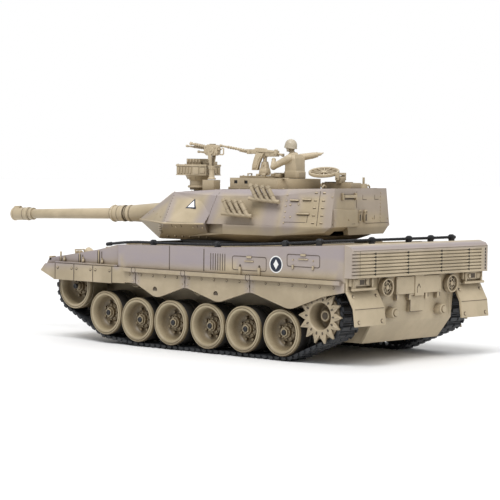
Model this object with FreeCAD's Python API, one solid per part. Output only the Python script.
import FreeCAD
import Part

import math
import os

# Radio-controlled toy tank. Millimetres, +X forward, +Y to the vehicle's left, +Z up.
# The parts are drawn with X = 0 at the rear grille and Z = 0 on the ground.  At the end
# everything is moved along X so that the origin is under the middle of the bounding box.
# The turret is drawn pointing straight ahead about its ring axis and is then turned by
# TURRET_YAW, which is its place at rest.

V = FreeCAD.Vector

# ---- driving dimensions -------------------------------------------------------------
HULL_HALF = 89.0          # hull side walls
HULL_FRONT_HALF = 86.0    # narrower side walls beside the glacis
HULL_STEP_X = 262.0       # where the narrower part begins
WALL = 2.0                # moulded shell thickness
TUB_HALF = 50.0           # lower hull between the tracks
TUB_FLOOR_Z = 16.0
REAR_KINK_Z = 33.0        # below this the rear plate runs forward to the belly
REAR_TOE_X = 22.0         # foot of the rear plate
GRILLE_HALF = 90.6
GRILLE_DEPTH = 8.5
RAIL_Z = (64.7, 68.0)
RAIL_HALF = 92.5
SHELF_Z = 68.4            # ledge over the heavy front panels
SKIRT_HALF = 89.6

WHEEL_OUT = 87.0          # outer plane of the wheels
WHEEL_IN = 62.0
WHEEL_R = 19.2
WHEEL_X = (279.5, 240.5, 200.7, 158.1, 118.2, 76.4)
WHEEL_Z = 23.2
FRONT_WHEEL_Z = 27.0
IDLER = (321.8, 48.0, 19.9)
SPROCKET = (36.3, 38.9, 18.0)
SPROCKET_TIP_R = 22.0
SPROCKET_TEETH = 14
ROLLER_X = (252.0, 177.0)
ROLLER_R = 7.6
AXLE_R = 2.45
BORE_R = 2.5
TRACK_T = 3.7
TRACK_GAP = 0.3
TRACK_Y = (60.0, 84.0)

RING_X = 200.0            # turret ring axis
RING_R = 44.0
DECK_HOLE_R = 44.5
TURRET_YAW = 8.0          # degrees, gun towards the vehicle's left
BELLY_Z = 92.3            # underside of the turret
STRIP_Z = (98.9, 107.0)
REAR_FACE_X = -122.5
REAR_HALF = 48.5
NOSE = (103.0, 11.0, 107.0)
KNEE = (42.0, 57.0, 106.0)
SLOT_HALF = 11.0          # opening between the two front wedges

TRUNNION = (72.0, 113.4)  # x, z
GUN_DROOP = 1.65          # degrees below level at rest
MUZZLE_X = 260.3
MUZZLE_BORE_R = 2.6
TUBE_LEAN = V(7.0, 1.0, 12.6)    # smoke tube, foot to tip
CUPOLA_TOP = 146.3
CUPOLA_GUN = (-23.0, -3.0)
PINTLE = (19.5, 17.0)
HATCH_TILT = (-14.0, -5.0)       # degrees about X, then Y
LID_TOP = 148.1
BARREL_R = 4.4

GEAR_MODULE = 1.5
RING_TEETH = 60
PINION_TEETH = 12
GEAR_Z = (78.0, 83.0)
GEAR_BORE_R = 36.0        # opening through the middle of the ring

# tow cable: corner points, and where it is clamped to the deck
CABLE_R = 1.3
CABLE_ROUTE = ((284, 81.0, 86.6), (258, 82.6, 89.9), (225, 83.0, 90.3), (190, 84.0, 90.6),
               (150, 83.4, 91.2), (112, 83.0, 93.0), (78, 81.0, 94.8), (48, 75.0, 97.2),
               (31, 56.0, 98.2), (27, 33.0, 98.4), (30, 8.0, 98.2), (27, -18.0, 98.4),
               (29, -48.0, 98.2), (27, -80.0, 98.4))
CLAMP_PLACES = ((225, 83.0, 90.3), (150, 83.4, 91.2), (78, 81.0, 94.8), (48, 74.2, 97.2),
                (28, 32.0, 98.4), (28, -17.0, 98.4), (28.6, -48.0, 98.2), (27.2, -76.0, 98.4))
CLAMP_R = 2.6

TAU = 360.0
PARTS = {}
TURRET_NODES = []


# ---- helpers ------------------------------------------------------------------------
def box(x0, x1, y0, y1, z0, z1):
    return Part.makeBox(x1 - x0, y1 - y0, z1 - z0, V(x0, y0, z0))


def side_prism(points, y0, y1):
    """Outline given as (x, z), extruded along Y."""
    outline = [V(x, y0, z) for x, z in points]
    face = Part.Face(Part.makePolygon(outline + outline[:1]))
    return face.extrude(V(0, y1 - y0, 0))


def flat_prism(points, z0, z1):
    """Outline given as (x, y), extruded along Z."""
    outline = [V(x, y, z0) for x, y in points]
    face = Part.Face(Part.makePolygon(outline + outline[:1]))
    return face.extrude(V(0, 0, z1 - z0))


def rod(start, end, radius):
    axis = V(*end) - V(*start)
    return Part.makeCylinder(radius, axis.Length, V(*start), axis)


def cone(start, end, r0, r1):
    axis = V(*end) - V(*start)
    return Part.makeCone(r0, r1, axis.Length, V(*start), axis)


def lathe(profile, centre, axis):
    """Closed profile of (radius, along) turned about an axis through centre."""
    placed = [V(r, 0, a) for r, a in profile]
    face = Part.Face(Part.makePolygon(placed + placed[:1]))
    solid = face.revolve(V(0, 0, 0), V(0, 0, 1), TAU)
    turn = FreeCAD.Rotation(V(0, 0, 1), V(*axis))
    solid.Placement = FreeCAD.Placement(V(*centre), turn)
    return solid


def union(shapes):
    shapes = list(shapes)
    joined = shapes[0].fuse(shapes[1:]) if len(shapes) > 1 else shapes[0]
    return joined.removeSplitter()


def mirror(shape):
    return shape.mirror(V(0, 0, 0), V(0, 1, 0))


def both(shape):
    return [shape, mirror(shape)]


def hull(points, tol=1e-4):
    """Convex solid around a few points: every plane through three of them that has
    all the others on one side carries a face."""
    pts = [V(*p) for p in points]
    middle = V(0, 0, 0)
    for p in pts:
        middle += p
    middle = middle * (1.0 / len(pts))
    faces = {}
    count = len(pts)
    for i in range(count):
        for j in range(i + 1, count):
            for k in range(j + 1, count):
                normal = (pts[j] - pts[i]).cross(pts[k] - pts[i])
                if normal.Length < tol:
                    continue
                normal.normalize()
                if (middle - pts[i]).dot(normal) > 0:
                    normal = normal * -1.0
                sides = [(p - pts[i]).dot(normal) for p in pts]
                if max(sides) > tol:
                    continue
                members = tuple(n for n in range(count) if abs(sides[n]) <= tol)
                faces[members] = normal
    shell = []
    for members, normal in faces.items():
        centre = V(0, 0, 0)
        for n in members:
            centre += pts[n]
        centre = centre * (1.0 / len(members))
        first = (pts[members[0]] - centre).normalize()
        second = normal.cross(first)
        ring = sorted(members, key=lambda n: math.atan2((pts[n] - centre).dot(second),
                                                        (pts[n] - centre).dot(first)))
        loop = [pts[n] for n in ring]
        shell.append(Part.Face(Part.makePolygon(loop + loop[:1])))
    return Part.Solid(Part.makeShell(shell))


def mirrored(points):
    """The points and their mirror images across the middle plane."""
    return list(points) + [(x, -y, z) for x, y, z in points if abs(y) > 1e-6]


def gear(centre, teeth, z0, z1, phase):
    """Spur gear with straight-flanked teeth, cut thin and shallow for free running."""
    pitch_r = GEAR_MODULE * teeth / 2.0
    tip_r = pitch_r + 0.7 * GEAR_MODULE
    root_r = pitch_r - 0.95 * GEAR_MODULE
    step = TAU / teeth
    outline = []
    for n in range(teeth):
        for share, radius in ((-0.30, root_r), (-0.09, tip_r), (0.09, tip_r), (0.30, root_r)):
            angle = math.radians(phase + (n + share) * step)
            outline.append((centre[0] + radius * math.cos(angle),
                            centre[1] + radius * math.sin(angle)))
    return flat_prism(outline, z0, z1)


def group(pieces, cutter=None):
    """Separate solids kept in one node, each trimmed to seat against a neighbour."""
    return Part.makeCompound([p.cut(cutter) if cutter else p for p in pieces])


def keep(name, shape, turret=False):
    PARTS[name] = shape
    if turret:
        TURRET_NODES.append(name)


# ---- hull ---------------------------------------------------------------------------
def deck_profile(drop=0.0):
    """Top line of the hull from rear to nose, as (x, z)."""
    line = ((8.5, 96.6), (48.0, 94.0), (150.0, 89.2), (200.0, 88.8), (266.0, 87.0),
            (289.0, 82.0), (314.0, 78.0), (353.0, 72.0))
    return [(x, z - drop) for x, z in line]


def upper_hull():
    foot_z = 66.4
    rear_cut = HULL_STEP_X
    outline = [(GRILLE_DEPTH, foot_z)] + deck_profile() + [(359.4, 63.0), (358.0, foot_z - 4.4)]
    outline += [(341.0, foot_z - 4.4), (341.0, SHELF_Z), (rear_cut, SHELF_Z), (rear_cut, foot_z)]
    outer = side_prism(outline, -HULL_HALF, HULL_HALF)
    for side in (1, -1):
        low, high = sorted((side * HULL_FRONT_HALF, side * (HULL_HALF + 1)))
        outer = outer.cut(box(rear_cut, 400, low, high, 40, 120))
    inner_line = [(GRILLE_DEPTH + WALL, 30)] + deck_profile(WALL)
    inner_line[1] = (GRILLE_DEPTH + WALL, 94.4)
    inner_line[-1] = (351.8, 70.2)
    inner_line += [(356.6, 64.0), (339.0, 60.0), (339.0, 30.0)]
    wide = side_prism(inner_line, -HULL_HALF + WALL, HULL_HALF - WALL)
    narrow = HULL_FRONT_HALF - WALL
    for side in (1, -1):
        low, high = sorted((side * narrow, side * HULL_HALF))
        wide = wide.cut(box(rear_cut - WALL, 400, low, high, 20, 120))
    shell = outer.cut(wide)
    shell = shell.cut(Part.makeCylinder(DECK_HOLE_R, 40, V(RING_X, 0, 70), V(0, 0, 1)))
    driver = Part.makeCylinder(13.0, 1.6, V(286, -30, 82.4), V(-0.17, 0, 1))
    vents = [Part.makeCylinder(20.0, 1.4, V(56, y, 93.0), V(0.05, 0, 1)) for y in (-40, 40)]
    shelf = box(rear_cut, 341.0, HULL_FRONT_HALF - WALL, 90.5, SHELF_Z, SHELF_Z + 1.2)
    return union([shell, driver] + vents + both(shelf))


def lower_hull():
    outline = [(REAR_TOE_X + 1.0, TUB_FLOOR_Z), (300.0, TUB_FLOOR_Z), (351.0, 54.0), (357.0, 61.6)]
    outline += [(341.0, 61.6), (341.0, 65.0), (300.0, 76.0), (14.5, 84.0), (14.5, REAR_KINK_Z + 2.0)]
    tub = side_prism(outline, -TUB_HALF, TUB_HALF)
    hollow = [(REAR_TOE_X + 3.4, 18.0), (299.0, 18.0), (346.5, 53.5), (339.0, 64.9), (300.0, 90.0),
              (16.5, 90.0), (16.5, REAR_KINK_Z + 2.6)]
    tub = tub.cut(side_prism(hollow, -TUB_HALF + WALL, TUB_HALF - WALL))
    bay = box(120, 210, -22, 22, TUB_FLOOR_Z - 1, TUB_FLOOR_Z + 3)
    tub = tub.cut(bay)
    tub = tub.cut(box(85, 97, -3.2, 3.2, TUB_FLOOR_Z - 1, TUB_FLOOR_Z + 3))
    arms = []
    for x, z in axle_places():
        arms.append(rod((x, TUB_HALF - 0.5, z), (x, 59.0, z), 6.0))
        arms.append(rod((x, 58.5, z), (x, WHEEL_OUT - 5.0, z), AXLE_R))
    for x in ROLLER_X:
        arms.append(rod((x, TUB_HALF - 0.5, roller_z(x)), (x, 80.0, roller_z(x)), AXLE_R))
        arms.append(rod((x, TUB_HALF - 0.5, roller_z(x)), (x, 66.0, roller_z(x)), 3.6))
    x, z, _ = SPROCKET
    arms.append(rod((x, TUB_HALF - 0.5, z), (x, 58.0, z), 8.0))
    bore = rod((x, -70, z), (x, 70, z), AXLE_R + 0.9)
    for part in list(arms):
        arms.append(mirror(part))
    return union([tub] + arms + rear_plate()).cut(bore)


def axle_places():
    """Stub axles of the road wheels and of the idler, as (x, z)."""
    places = [(x, FRONT_WHEEL_Z if x == WHEEL_X[0] else WHEEL_Z) for x in WHEEL_X]
    return places + [IDLER[:2]]


def roller_z(x):
    """Rollers hang just under the straight upper run of the track."""
    x0, z0, r0 = SPROCKET
    x1, z1, r1 = IDLER
    share = (x - x0) / (x1 - x0)
    return z0 + r0 + share * (z1 + r1 - z0 - r0) - ROLLER_R - 0.1


def rear_grille():
    outline = [(0, 70.5), (0, 92.2), (2.0, 94.6), (GRILLE_DEPTH, 96.6), (GRILLE_DEPTH, 70.5)]
    panel = side_prism(outline, -GRILLE_HALF, GRILLE_HALF)
    panel = panel.cut(box(2.2, 20, -GRILLE_HALF + 2, GRILLE_HALF - 2, 72.5, 92.0))
    slots = [box(-1, 1.1, -GRILLE_HALF + 9, GRILLE_HALF + 1, 72.6 + n * 2.7, 73.5 + n * 2.7)
             for n in range(7)]
    return panel.cut(Part.makeCompound(slots))


def rear_plate():
    """Rear wall of the lower hull with its hatch, raised lids, hinge tabs and fender wings."""
    edge = [(REAR_TOE_X, TUB_HALF + 0.5, TUB_FLOOR_Z), (10.2, 53.0, REAR_KINK_Z),
            (5.3, TUB_HALF + 1.0, 70.4)]
    leaves = []
    for low, high in zip(edge, edge[1:]):
        ring = [(x + deep, y, z) for x, y, z in (low, high) for deep in (0.0, WALL + 0.4)]
        leaves.append(hull(mirrored(ring)))
    hatch = box(5.4, 9.4, -9.5, 9.5, 40.5, 54.5)
    lids = [box(3.6, 7.6, y0, y1, 55.5, 69.5) for y0, y1 in ((4.5, 30.0), (-30.0, -4.5))]
    centre = box(3.0, 8.0, -6.0, 6.0, 53.5, 70.3)
    tabs = [box(4.2, 9.6, y - 1.5, y + 1.5, 50.5, 55.6) for y in (27.0, 11.0, -11.0, -27.0)]
    wings = [box(6.4, 8.5, low_y, high_y, 58.6, 70.4)
             for low_y, high_y in ((TUB_HALF + 0.9, HULL_HALF), (-HULL_HALF, -TUB_HALF - 0.9))]
    return leaves + [hatch, centre] + lids + tabs + wings


def rear_fittings():
    fan_y, fan_z = 43.4, 61.8
    pieces = []
    for side in (1, -1):
        ring = Part.makeCylinder(7.6, 3.0, V(2.6, side * fan_y, fan_z), V(1, 0, 0))
        ring = ring.cut(Part.makeCylinder(6.2, 2.0, V(2.0, side * fan_y, fan_z), V(1, 0, 0)))
        bars = [box(3.0, 5.0, side * fan_y - 0.6, side * fan_y + 0.6, fan_z - 6.5, fan_z + 6.5),
                box(3.0, 5.0, side * fan_y - 6.5, side * fan_y + 6.5, fan_z - 0.6, fan_z + 0.6)]
        pieces.append(union([ring, rod((5.5, side * fan_y, fan_z), (7.0, side * fan_y, fan_z), 5.0)]
                            + bars))
        cap_y = side * 32.3
        pieces.append(union([rod((3.0, cap_y, 40.9), (9.3, cap_y, 40.9), 4.6),
                             rod((1.4, cap_y, 40.9), (3.4, cap_y, 40.9), 2.6)]))
        lamp_y = sorted((side * 60.0, side * 88.0))
        lamp = box(3.4, 6.4, lamp_y[0], lamp_y[1], 64.2, 70.0)
        bar = rod((2.2, lamp_y[0], 61.6), (2.2, lamp_y[1], 61.6), 1.1)
        legs = [box(2.0, 6.4, y - 0.8, y + 0.8, 60.9, 66.0) for y in (lamp_y[0] + 3, lamp_y[1] - 3)]
        pieces.append(union([lamp, bar] + legs))
    return pieces + mudflaps()


def mudflaps():
    outline = [(6.2, 60.2), (-1.2, 46.9), (-2.8, 32.9), (-1.2, 32.9), (0.6, 46.5), (8.4, 60.2)]
    flap = side_prism(outline, 51.4, 89.4)
    screws = [rod((-3.2, y, 36.0), (-1.6, y, 36.0), 1.1) for y in (56.0, 85.0)]
    return both(union([flap] + screws))


def skirt():
    """Left side skirt: wavy rear panels, flat heavy panels in front, and the rail."""
    wave = [(9.0, 66.4), (9.0, 59.2), (32.0, 54.5), (65.2, 42.6), (108.0, 54.6), (143.4, 43.8),
            (181.0, 54.6), (215.0, 43.4), (239.8, 55.0), (253.0, 55.0), (253.0, 66.4)]
    panel = side_prism(wave, 87.6, SKIRT_HALF)
    lobes = [e for e in panel.Edges
             if abs(e.Vertexes[0].X - e.Vertexes[-1].X) < 1e-6 and e.Length < 2.1
             and abs(e.Vertexes[0].Z - e.Vertexes[-1].Z) < 1e-6
             and any(abs(e.Vertexes[0].X - x) < 0.1 for x in (65.2, 108.0, 143.4, 181.0, 215.0))]
    panel = panel.makeFillet(16.0, lobes)
    for x in (216.3, 145.8):
        hole = rod((x, 80, 50.6), (x, 95, 50.6), 2.6)
        panel = panel.cut(hole.cut(box(x - 4, x + 4, 79, 96, 46, 50.4)))
    rail = box(12.0, 253.0, SKIRT_HALF - 0.2, RAIL_HALF, RAIL_Z[0], RAIL_Z[1])
    rail = rail.cut(box(0, 260, 80, HULL_HALF, RAIL_Z[0] + 1.7, RAIL_Z[1] + 1))
    grooves = [box(x - 0.3, x + 0.3, SKIRT_HALF - 0.7, 93, 40, 64.7) for x in (239.8, 181.0, 108.0)]
    heavy = flat_prism([(266.6, 87.6), (266.6, 92.0), (341.0, 92.0), (341.0, 87.6)],
                       53.6, RAIL_Z[1])
    taper = flat_prism([(253.0, 87.6), (253.0, 89.6), (266.6, 92.0), (266.6, 87.6)],
                       54.2, RAIL_Z[1])
    nose = side_prism([(341.0, 53.7), (341.0, 68.0), (353.0, 67.2), (359.0, 61.0)], HULL_FRONT_HALF, 91.4)
    splits = [box(x - 0.35, x + 0.35, 91.3, 93, 50, 70) for x in (339.0, 314.6, 290.5, 266.6)]
    body = union([panel, rail, heavy, taper, nose])
    return body.cut(Part.makeCompound(grooves + splits))


# ---- running gear -------------------------------------------------------------------
def loop_wire(circles, y, grow):
    """Closed belt line around circles (x, z, r) listed once round, grown outwards."""
    count = len(circles)
    ends = []
    for n in range(count):
        x0, z0, r0 = circles[n]
        x1, z1, r1 = circles[(n + 1) % count]
        reach = math.hypot(x1 - x0, z1 - z0)
        heading = math.atan2(z1 - z0, x1 - x0)
        out = heading - math.acos((r0 - r1) / reach)
        ends.append(((x0, z0, r0 + grow, out), (x1, z1, r1 + grow, out)))
    edges = []
    for n in range(count):
        leave, arrive = ends[n]
        edges.append(Part.LineSegment(point_on(leave, y), point_on(arrive, y)).toShape())
        following = ends[(n + 1) % count][0]
        sweep = (following[3] - arrive[3]) % (2 * math.pi)
        if sweep < 1e-4 or 2 * math.pi - sweep < 1e-4:
            continue
        middle = (arrive[0], arrive[1], arrive[2], arrive[3] + sweep / 2)
        bend = [point_on(spot, y) for spot in (arrive, middle, following)]
        edges.append(Part.Arc(*bend).toShape())
    return Part.Wire(edges)


def point_on(spot, y):
    x, z, radius, angle = spot
    return V(x + radius * math.cos(angle), y, z + radius * math.sin(angle))


def belt_circles():
    """Circles that the track goes round, listed anticlockwise seen from the right."""
    circles = [(SPROCKET[0], SPROCKET[1], SPROCKET[2] + TRACK_GAP)]
    circles.append((WHEEL_X[-1], WHEEL_Z, WHEEL_R + TRACK_GAP))
    circles.append((WHEEL_X[1], WHEEL_Z, WHEEL_R + TRACK_GAP))
    circles.append((WHEEL_X[0], FRONT_WHEEL_Z, WHEEL_R + TRACK_GAP))
    circles.append((IDLER[0], IDLER[1], IDLER[2] + TRACK_GAP))
    return circles


def track():
    circles = belt_circles()
    outer = Part.Face(loop_wire(circles, TRACK_Y[0], TRACK_T))
    inner = Part.Face(loop_wire(circles, TRACK_Y[0], 0.0))
    return outer.cut(inner).extrude(V(0, TRACK_Y[1] - TRACK_Y[0], 0))


def road_wheel(x, z):
    """Tan wheel: dished disc outside, drum for the tyre behind it."""
    profile = [(BORE_R, 76.0), (BORE_R, 83.0), (4.4, 83.0), (4.4, 78.6), (10.5, 78.6), (15.0, 85.8),
               (15.6, 87.0), (18.5, 87.0), (WHEEL_R, 86.3), (WHEEL_R, 83.6), (15.2, 83.6),
               (15.2, WHEEL_IN + 1), (13.2, WHEEL_IN + 1), (13.2, 76.0)]
    return lathe(profile, (x, 0, z), (0, 1, 0))


def tyre(x, z):
    profile = [(15.2, WHEEL_IN), (15.2, 83.6), (18.6, 83.6), (WHEEL_R, 83.0), (WHEEL_R, WHEEL_IN + 0.6),
               (18.6, WHEEL_IN)]
    return lathe(profile, (x, 0, z), (0, 1, 0))


def idler_wheel():
    x, z, radius = IDLER
    profile = [(BORE_R, 76.0), (BORE_R, 83.0), (4.4, 83.0), (4.4, 78.6), (11.0, 78.6), (15.4, 85.8),
               (16.0, 87.0), (19.2, 87.0), (radius, 86.3), (radius, 84.4), (17.0, 84.4), (17.0, 80.0),
               (radius, 80.0), (radius, 62.6), (18.0, 62.0), (13.6, 62.0), (13.6, 76.0)]
    return lathe(profile, (x, 0, z), (0, 1, 0))


def sprocket():
    """Deep cup with a ring of pointed teeth outboard of the track, and its drive shaft."""
    x, z, drum_r = SPROCKET
    root_r = 17.2
    star = []
    step = TAU / SPROCKET_TEETH
    for n in range(SPROCKET_TEETH):
        for share, radius in ((0.0, SPROCKET_TIP_R), (0.10, SPROCKET_TIP_R - 0.9), (0.5, root_r),
                              (0.90, SPROCKET_TIP_R - 0.9)):
            angle = math.radians((n + share) * step)
            star.append((x + radius * math.cos(angle), z + radius * math.sin(angle)))
    teeth = side_prism(star, 84.4, 86.6)
    drum = rod((x, 61.0, z), (x, 85.0, z), drum_r)
    cup = rod((x, 72.0, z), (x, 95.0, z), 10.6)
    hub = cone((x, 70.0, z), (x, 80.0, z), 5.6, 4.2)
    shaft = rod((x, 40.0, z), (x, 72.0, z), AXLE_R + 0.8)
    return union([union([teeth, drum]).cut(cup), hub, shaft])


def return_roller(x):
    z = roller_z(x)
    profile = [(BORE_R, 66.4), (BORE_R, 79.0), (4.0, 79.0), (ROLLER_R - 0.6, 77.6),
               (ROLLER_R, 77.0), (ROLLER_R, 67.0), (ROLLER_R - 0.6, 66.4)]
    return lathe(profile, (x, 0, z), (0, 1, 0))


# ---- inside the hull ----------------------------------------------------------------
def battery_cover():
    plate = box(120.3, 209.7, -21.7, 21.7, TUB_FLOOR_Z, TUB_FLOOR_Z + 1.8)
    return plate.cut(box(124, 130, -6, 6, TUB_FLOOR_Z - 1, TUB_FLOOR_Z + 0.8))


def drive_units():
    units = []
    for side in (1, -1):
        low, high = sorted((side * 24.0, side * 47.6))
        case = box(26.0, 66.0, low, high, 22.0, 54.0)
        bore = rod((SPROCKET[0], -60, SPROCKET[1]), (SPROCKET[0], 60, SPROCKET[1]), 3.32)
        can = rod((66.0, side * 36.0, 38.0), (96.0, side * 36.0, 38.0), 10.0)
        units.append(union([case, can]).cut(bore))
    return units + [turret_motor()]


def circuit_board():
    board = box(225.0, 290.0, -28.0, 28.0, 30.0, 31.6)
    chips = [box(234, 250, -16, 0, 31.6, 35.0), box(262, 278, 4, 18, 31.6, 37.0)]
    posts = [rod((x, y, 18.0), (x, y, 30.0), 2.0) for x in (229, 286) for y in (-24, 24)]
    return [union([board] + chips + posts), speaker()]


def speaker():
    basket = cone((254.0, 0, 18.0), (254.0, 0, 24.0), 12.0, 16.0)
    magnet = rod((254.0, 0, 24.0), (254.0, 0, 28.0), 8.0)
    return union([basket, magnet])


def turret_motor():
    x = RING_X - GEAR_MODULE * (RING_TEETH + PINION_TEETH) / 2.0
    body = rod((x, 0, 56.0), (x, 0, 77.0), 10.0)
    bracket = box(x - 16, x + 16, -11, 11, 53.0, 56.0)
    legs = [box(x + side * 16 - 1.5, x + side * 16 + 1.5, -11, 11, 40.0, 56.0) for side in (1, -1)]
    return union([body, bracket, rod((x, 0, 77.0), (x, 0, 84.5), 1.5)] + legs)


def turret_pinion():
    x = RING_X - GEAR_MODULE * (RING_TEETH + PINION_TEETH) / 2.0
    blank = gear((x, 0), PINION_TEETH, GEAR_Z[0], GEAR_Z[1], 0.0)
    return blank.cut(rod((x, 0, 70), (x, 0, 90), 1.55))


def power_switch():
    slider = box(88.0, 92.0, -2.6, 2.6, TUB_FLOOR_Z - 0.8, TUB_FLOOR_Z + 2.4)
    return union([slider, box(85.6, 96.4, -2.9, 2.9, TUB_FLOOR_Z + 2.4, TUB_FLOOR_Z + 3.6)])


def case_screws():
    screws = []
    for x in (110.0, 224.0, 286.0, 40.0):
        for y in (-36.0, 36.0):
            screws.append(union([rod((x, y, TUB_FLOOR_Z - 1.0), (x, y, TUB_FLOOR_Z), 2.6),
                                 rod((x, y, TUB_FLOOR_Z), (x, y, 21.0), 1.2)]))
    return Part.makeCompound(screws)


# ---- tow cable ----------------------------------------------------------------------
def tow_cable():
    """Straight runs joined by tangent arcs, held along its whole length by clamps."""
    route = [V(*p) for p in CABLE_ROUTE]
    edges = []
    start = route[0]
    for n in range(1, len(route) - 1):
        before, after = route[n] - route[n - 1], route[n + 1] - route[n]
        turn = before.getAngle(after)
        shorter = min(before.Length, after.Length)
        cut = 0.45 * shorter
        radius = cut / math.tan(turn / 2)
        into = V(before).normalize()
        away = V(after).normalize()
        first, last = route[n] - into * cut, route[n] + away * cut
        inward = (away - into).normalize()
        sagitta = radius * (1 / math.cos(turn / 2) - 1)
        middle = route[n] + inward * sagitta
        edges.append(Part.LineSegment(start, first).toShape())
        edges.append(Part.Arc(first, middle, last).toShape())
        start = last
    edges.append(Part.LineSegment(start, route[-1]).toShape())
    path = Part.Wire(edges)
    section = Part.Wire(Part.makeCircle(CABLE_R, route[0], route[1] - route[0]))
    tube = path.makePipeShell([section], True, False)
    print("cable length %.1f" % path.Length)
    return tube


def cable_clamps():
    clamps = []
    for x, y, z in CLAMP_PLACES:
        base_z = deck_height(x)
        post = rod((x, y, base_z), (x, y, z + 1.2), CLAMP_R)
        clamps.append(post)
    return Part.makeCompound(clamps)


def deck_height(x):
    line = deck_profile()
    for (x0, z0), (x1, z1) in zip(line, line[1:]):
        if x0 <= x <= x1:
            return z0 + (z1 - z0) * (x - x0) / (x1 - x0)
    return line[0][1]


# ---- turret -------------------------------------------------------------------------
def wedge():
    """Left front wedge: sharp lower edge from nose to knee, sloping faces above and below."""
    seam = (-1.0, 57.0, 106.8)
    inner = [(0.0, 30.0, 107.0), (60.0, SLOT_HALF, 107.0)]
    above = hull([NOSE, KNEE, seam, (45.0, 37.0, 133.0), (66.0, SLOT_HALF, 132.0),
                  (-11.0, 42.0, 136.4), (0.0, 30.0, 136.0), (60.0, SLOT_HALF, 132.4)] + inner)
    below = hull([NOSE, KNEE, seam, (55.0, 45.0, BELLY_Z + 0.3), (78.0, SLOT_HALF, BELLY_Z + 0.3),
                  (0.0, 46.0, BELLY_Z + 0.3), (0.0, 30.0, BELLY_Z + 0.3),
                  (60.0, SLOT_HALF, BELLY_Z + 0.3)] + inner)
    return [above, below]


def turret_body():
    """Everything of the turret above its lower edge strip."""
    main = hull(mirrored([(-1.0, 54.5, 107.0), (-76.0, 56.6, 107.0), (REAR_FACE_X, REAR_HALF, 107.0),
                          (-8.0, 49.5, 131.0), (-74.0, 50.5, 132.4), (-93.0, 45.6, 137.6),
                          (REAR_FACE_X, 42.4, 139.0), (-8.0, 43.0, 136.4), (45.0, 37.0, 133.0),
                          (59.4, 11.0, 132.4), (59.4, 11.0, 107.0), (40.0, 40.0, 107.0)]))
    strip = hull(mirrored([(-20.0, 57.0, STRIP_Z[0]), (-73.2, 57.0, STRIP_Z[0]),
                           (-114.0, 40.0, STRIP_Z[0] + 1.2), (-116.0, 48.5, 102.2),
                           (-20.0, 57.0, STRIP_Z[1]), (-76.0, 57.0, STRIP_Z[1]),
                           (REAR_FACE_X, REAR_HALF, STRIP_Z[1])]))
    front = hull(mirrored([(-20.5, 54.0, STRIP_Z[0]), (57.0, 11.0, STRIP_Z[0]), (40.0, 40.0, STRIP_Z[0]),
                           (-20.5, 54.0, 107.5), (57.0, 11.0, 107.5), (40.0, 40.0, 107.5)]))
    rear_box = hull([(-104.0, 20.0, 99.2), (REAR_FACE_X, 20.0, 100.0), (REAR_FACE_X, -38.0, 100.0),
                     (-104.0, -38.0, 99.2), (-104.0, 22.0, 107.5), (REAR_FACE_X, 22.0, 107.5),
                     (REAR_FACE_X, -48.0, 107.5), (-104.0, -48.0, 107.5)])
    pieces = [main, strip, front, rear_box]
    for part in wedge():
        pieces += both(part)
    return union(pieces)


def turret_shell():
    shell = turret_body()
    shell = shell.cut(box(-118.0, 36.0, -36.0, 36.0, 90.0, 129.5))
    shell = shell.cut(box(35.0, 56.5, -16.0, 16.0, 90.0, 128.0))
    shell = shell.cut(box(56.0, 130.0, -SLOT_HALF, SLOT_HALF, 80.0, 150.0))
    pin_x, pin_z = TRUNNION
    shell = shell.cut(rod((pin_x, -15.0, pin_z), (pin_x, 15.0, pin_z), 2.06))
    sight_hole = rod((43.0, 4.0, 120.0), (43.0, 4.0, 140.0), 4.06)
    shell = shell.cut(sight_hole)
    rear_lids = box(-115.0, -86.0, -12.0, 4.0, 136.0, 143.4)
    antenna = union([cone((-107.0, -30.0, 137.6), (-107.0, -30.0, 142.6), 4.2, 2.6),
                     rod((-107.0, -30.0, 142.0), (-107.0, -30.0, 148.0), 1.0)])
    mg_base = box(13.8, 25.8, 12.0, 22.0, 130.0, 144.0)
    step = side_prism([(REAR_FACE_X - 1.3, 107.0), (REAR_FACE_X - 1.3, 121.4), (REAR_FACE_X + 1, 122.6),
                       (REAR_FACE_X + 1, 107.0)], 6.0, 45.0)
    bracket = union([box(-105.4, -101.0, -2.0, 6.0, 143.0, 147.0),
                     rod((-103.2, -2.0, 147.0), (-103.2, 6.0, 147.0), 2.3)])
    pin_hole = rod((-103.2, -5.0, 147.0), (-103.2, 9.0, 147.0), 1.0)
    return union([shell, rear_lids, antenna, mg_base, step, bracket.cut(pin_hole)])


def turret_base():
    belly = hull(mirrored([(54.0, 44.0, BELLY_Z), (-56.0, 44.0, BELLY_Z), (-98.0, 26.0, BELLY_Z + 1.0),
                           (54.0, 44.0, STRIP_Z[0]), (-20.0, 53.6, STRIP_Z[0]),
                           (-73.0, 53.6, STRIP_Z[0]), (-112.0, 36.0, STRIP_Z[0])]))
    neck = Part.makeCylinder(RING_R, BELLY_Z - GEAR_Z[1] + 2, V(0, 0, GEAR_Z[1]), V(0, 0, 1))
    bore = Part.makeCylinder(GEAR_BORE_R, 60, V(0, 0, 70), V(0, 0, 1))
    solid = union([belly, neck]).cut(bore)
    return union([solid.cut(turret_body()), ring_gear()])


def ring_gear():
    """Ring gear under the deck, which also keeps the turret from lifting out."""
    step = TAU / RING_TEETH
    phase = (TAU / 2 - TURRET_YAW) % step - step / 2
    blank = gear((0, 0), RING_TEETH, GEAR_Z[0], GEAR_Z[1], phase)
    return blank.cut(Part.makeCylinder(GEAR_BORE_R, 60, V(0, 0, 60), V(0, 0, 1)))


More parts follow.
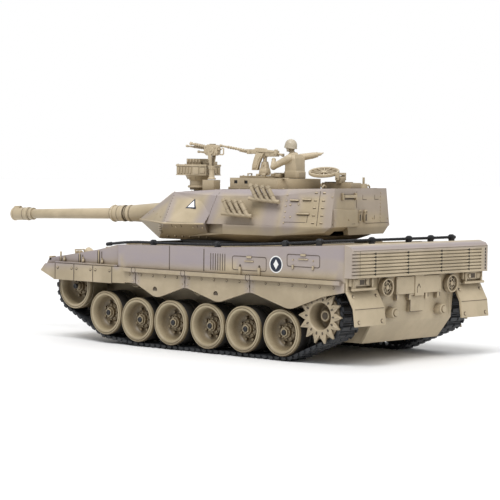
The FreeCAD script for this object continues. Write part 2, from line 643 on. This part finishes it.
def mantlet():
    x, z = TRUNNION
    drum = rod((x, -SLOT_HALF + 0.5, z), (x, SLOT_HALF - 0.5, z), 11.6)
    pins = rod((x, -SLOT_HALF - 3.0, z), (x, SLOT_HALF + 3.0, z), 2.0)
    neck = cone((x + 4, 0, z), (x + 46, 0, z), 10.2, 7.4)
    solid = union([drum, pins, neck])
    return gun_tilt(solid.cut(rod((x + 20, 0, z), (x + 60, 0, z), BARREL_R)))


def barrel():
    x, z = TRUNNION
    tip = MUZZLE_X - x
    profile = [(0, 20.2), (BARREL_R, 20.2), (BARREL_R, 46.4), (7.3, 46.4), (7.3, 51.0), (6.6, 51.4),
               (6.6, 54.0), (7.2, 54.4), (7.2, 68.6), (5.0, 69.4), (BARREL_R, tip - 24.3),
               (5.4, tip - 23.9), (5.4, tip - 20.3), (5.9, tip - 19.9), (5.9, tip),
               (MUZZLE_BORE_R, tip), (MUZZLE_BORE_R, tip - 12.3), (0, tip - 12.3)]
    tube = lathe(profile, (x, 0, z), (1, 0, 0))
    bump = rod((MUZZLE_X - 8.3, 0, z + 4.0), (MUZZLE_X - 1.3, 0, z + 4.0), 3.2)
    mouth = rod((MUZZLE_X - 11.3, 0, z), (MUZZLE_X + 1.7, 0, z), MUZZLE_BORE_R)
    return gun_tilt(union([tube, bump]).cut(mouth))


def gun_tilt(shape):
    tilted = shape.copy()
    tilted.rotate(V(TRUNNION[0], 0, TRUNNION[1]), V(0, 1, 0), GUN_DROOP)
    return tilted


def smoke_bank(bar_front, bar_rear, lean):
    """Bar with four mortar tubes leaning outwards, and its bracket to the wall."""
    front, rear = V(*bar_front), V(*bar_rear)
    along = rear - front
    pieces = [rod(tuple(front), tuple(rear), 1.7)]
    for n in range(4):
        foot = front + along * (0.28 + 0.19 * n)
        top = foot + lean
        pieces.append(rod(tuple(foot), tuple(top), 1.9))
    for share in (0.3, 0.85):
        spot = front + along * share
        pieces.append(rod(tuple(spot), (spot.x, spot.y - 9.0, spot.z - 1.5), 1.2))
    return union(pieces)


def smoke_launchers():
    body = turret_body()
    low = smoke_bank((-21.5, 60.0, 116.6), (-52.0, 60.0, 114.8), TUBE_LEAN)
    high = smoke_bank((-46.5, 56.5, 129.6), (-77.0, 56.5, 127.2), TUBE_LEAN)
    return Part.makeCompound([part.cut(body) for part in both(low) + both(high)])


def sight_head():
    centre = (43.0, 4.0)
    head = box(27.0, 59.0, -7.0, 15.0, 147.8, 157.0)
    cap = box(35.5, 51.0, -3.5, 11.0, 156.5, 162.4)
    column = rod((*centre, 134.9), (*centre, 142.9), 7.6)
    collar = cone((*centre, 142.8), (*centre, 147.9), 7.6, 11.8)
    spigot = rod((*centre, 130.5), (*centre, 135.5), 4.0)
    return union([head, cap, column, collar, spigot])


def pintle_gun():
    x, y = PINTLE
    post = rod((x, y, 144.3), (x, y, 156.0), 2.2)
    foot = rod((x, y, 144.3), (x, y, 145.6), 3.6)
    fork = [rod((x, y, 154.5), (x + 1.0, y + side * 2.6, 166.5), 1.3) for side in (1, -1)]
    body = box(x - 7.0, x + 6.5, y - 3.0, y + 3.0, 165.4, 174.4)
    barrels = [rod((x + 6, y + 1.2, 173.0), (x + 22.5, y + 1.2, 175.8), 1.25),
               rod((x + 6, y - 1.2, 171.2), (x + 28.5, y - 1.2, 173.6), 0.9),
               rod((x + 6, y, 167.8), (x + 15.0, y, 168.6), 1.0)]
    grip = box(x - 12.0, x - 6.5, y - 0.8, y + 0.8, 165.6, 167.0)
    guard = box(x - 12.4, x - 11.0, y - 0.8, y + 0.8, 165.6, 171.2)
    return union([post, foot, body, grip, guard] + fork + barrels)


def cupola():
    outline = [(-2, 20), (-30, 30), (-58, 30), (-76, -10), (-60, -16), (-14, -16), (-2, -4)]
    slab = flat_prism(outline, 132.0, CUPOLA_TOP)
    lid = [(-8, 14), (-30, 23), (-40, 23), (-40, -10), (-14, -10), (-8, -2)]
    slab = union([slab, flat_prism(lid, CUPOLA_TOP - 0.4, LID_TOP)])
    ports = [box(x - 2.2, x + 2.2, 15, 40, 141.4, 144.2) for x in (-10.0, -24.0)]
    slab = slab.cut(Part.makeCompound(ports))
    return slab.cut(turret_body())


def crew_figure():
    """Half figure standing in the cupola, cast in one piece with its collar."""
    x, y = -56.0, 0.0
    collar = rod((x, y, CUPOLA_TOP + 0.1), (x, y, 152.6), 8.6)
    torso = hull(mirrored([(x - 5.6, 7.4, 152.0), (x + 5.6, 7.4, 152.0), (x - 4.8, 8.2, 163.4),
                           (x + 5.2, 8.2, 163.4), (x - 3.0, 6.0, 168.2), (x + 4.0, 6.0, 168.2)]))
    head_x = x + 4.4
    neck = rod((x + 2.6, y, 166.4), (head_x, y, 171.6), 2.4)
    head = Part.makeSphere(4.3, V(head_x + 0.4, y, 173.4))
    helmet = Part.makeSphere(5.5, V(head_x, y, 174.8)).cut(box(x - 9, x + 12, -9, 9, 160, 173.6))
    arms = [((x + 2, 7.6, 163.6), (x + 16.5, 9.0, 156.2)), ((x + 16.5, 9.0, 156.2), (x + 24.0, 4.8, 160.6)),
            ((x - 1, -7.6, 164.4), (x - 10.0, -12.0, 166.2)),
            ((x - 10.0, -12.0, 166.2), (x - 18.0, -15.0, 168.0))]
    limbs = [rod(a, b, 2.5) for a, b in arms]
    elbow = Part.makeSphere(2.6, V(x + 16.5, 9.0, 156.2))
    shoulder = [Part.makeSphere(3.2, V(x + 0.6, 7.6 * side, 164.0)) for side in (1, -1)]
    return union([collar, torso, neck, head, helmet, elbow] + shoulder + limbs)


def cupola_gun():
    """Roof gun on its pedestal, with a curved magazine."""
    x, y = CUPOLA_GUN
    foot = rod((x, y, LID_TOP + 0.2), (x, y, LID_TOP + 2.0), 4.6)
    pedestal = cone((x, y, LID_TOP + 1.8), (x, y, 158.6), 3.6, 2.4)
    stem = rod((x, y, 158.0), (x, y, 166.0), 1.9)
    side = [(16.0, 170.8), (9.0, 171.8), (-13.6, 170.0), (-13.6, 164.6), (-4.0, 164.6),
            (2.0, 166.2), (16.0, 167.4)]
    receiver = side_prism([(x + px, z) for px, z in side], y - 2.6, y + 2.6)
    tube = rod((x + 15.5, y, 169.2), (x + 48.0, y, 174.3), 1.25)
    stock = rod((x - 13.2, y, 167.4), (x - 19.0, y, 166.2), 1.2)
    curve = [(0.4, 168.0), (4.4, 160.2), (6.4, 152.8), (11.2, 152.8), (9.2, 161.0), (5.6, 168.4)]
    magazine = side_prism([(x + px, z) for px, z in curve], y + 1.4, y + 4.6)
    return union([foot, pedestal, stem, receiver, tube, stock, magazine])


def hatch_cover():
    """Round ribbed cover carried by an arm behind the cupola, hinged on its bracket."""
    centre = V(-88.0, 4.0, 150.6)
    disc = rod(tuple(centre), tuple(centre + V(0, 0, 3.0)), 13.2)
    disc = disc.cut(rod(tuple(centre + V(0, 0, 1.0)), tuple(centre + V(0, 0, 4)), 12.0))
    hub = rod(tuple(centre + V(0, 0, 0.6)), tuple(centre + V(0, 0, 2.4)), 2.0)
    spokes = []
    for n in range(6):
        bar = box(centre.x - 12.4, centre.x + 12.4, centre.y - 0.5, centre.y + 0.5,
                  centre.z + 0.6, centre.z + 2.2)
        bar.rotate(centre, V(0, 0, 1), n * 30)
        spokes.append(bar)
    disc = union([disc, hub] + spokes)
    disc.rotate(centre, V(1, 0, 0), HATCH_TILT[0])
    disc.rotate(centre, V(0, 1, 0), HATCH_TILT[1])
    ears = [box(-105.0, -101.4, y0, y1, 145.4, 152.0) for y0, y1 in ((6.3, 8.3), (-4.3, -2.3))]
    bridge = box(-105.0, -97.0, -4.3, 8.3, 149.6, 152.0)
    pin = rod((-103.2, -4.3, 147.0), (-103.2, 8.3, 147.0), 0.95)
    return union([disc, bridge, pin] + ears)


# ---- build --------------------------------------------------------------------------
def build():
    keep("hull_upper", upper_hull())
    keep("hull_lower", lower_hull())
    keep("rear_grille", rear_grille())
    keep("rear_fittings", group(rear_fittings(), PARTS["hull_lower"]))
    keep("battery_pack", box(124, 206, -20, 20, TUB_FLOOR_Z + 4.0, TUB_FLOOR_Z + 24.0))
    keep("battery_cover", battery_cover())
    keep("drive_units", group(drive_units()))
    keep("circuit_board", group(circuit_board()))
    keep("turret_pinion", turret_pinion())
    keep("power_switch", power_switch())
    keep("case_screws", case_screws())
    keep("tow_cable", tow_cable())
    keep("cable_clamps", cable_clamps().cut(PARTS["tow_cable"]).cut(PARTS["hull_upper"]))
    pair = {"skirt": skirt().cut(PARTS["hull_upper"]), "track": track(),
            "sprocket": sprocket(), "idler_wheel": idler_wheel()}
    for n, x in enumerate(WHEEL_X, 1):
        z = FRONT_WHEEL_Z if n == 1 else WHEEL_Z
        pair["road_wheel_%d" % n] = road_wheel(x, z)
        pair["tyre_%d" % n] = tyre(x, z)
    for n, x in enumerate(ROLLER_X, 1):
        pair["return_roller_%d" % n] = return_roller(x)
    for name, shape in pair.items():
        keep(name + "_left", shape)
        keep(name + "_right", mirror(shape))
    keep("turret_shell", turret_shell(), True)
    keep("turret_base", turret_base(), True)
    keep("mantlet", mantlet(), True)
    keep("barrel", barrel(), True)
    keep("smoke_launchers", smoke_launchers(), True)
    keep("sight_head", sight_head(), True)
    keep("pintle_gun", pintle_gun(), True)
    keep("cupola", cupola(), True)
    keep("crew_figure", crew_figure(), True)
    keep("cupola_gun", cupola_gun(), True)
    keep("hatch_cover", hatch_cover(), True)


def place():
    """Turn the turret to its rest yaw, then centre everything over the origin."""
    for name in TURRET_NODES:
        shape = PARTS[name].copy()
        shape.rotate(V(0, 0, 0), V(0, 0, 1), TURRET_YAW)
        shape.translate(V(RING_X, 0, 0))
        PARTS[name] = shape
    whole = FreeCAD.BoundBox()
    for shape in PARTS.values():
        whole.add(shape.optimalBoundingBox(True, False))
    shift = V(-(whole.XMin + whole.XMax) / 2, 0, 0)
    for name, shape in PARTS.items():
        moved = shape.copy()
        moved.translate(shift)
        PARTS[name] = moved
    print("shift %.4f size %.2f %.2f %.2f low %.3f" % (shift.x, whole.XLength, whole.YLength,
                                                      whole.ZLength, whole.ZMin))


build()
place()
os.makedirs("parts", exist_ok=True)
for name, shape in PARTS.items():
    for solid in shape.Solids:
        if not solid.isValid():
            print("invalid solid in", name)
    shape.exportStep("parts/%s.step" % name)
    print(name, len(shape.Solids), round(shape.Volume, 1))
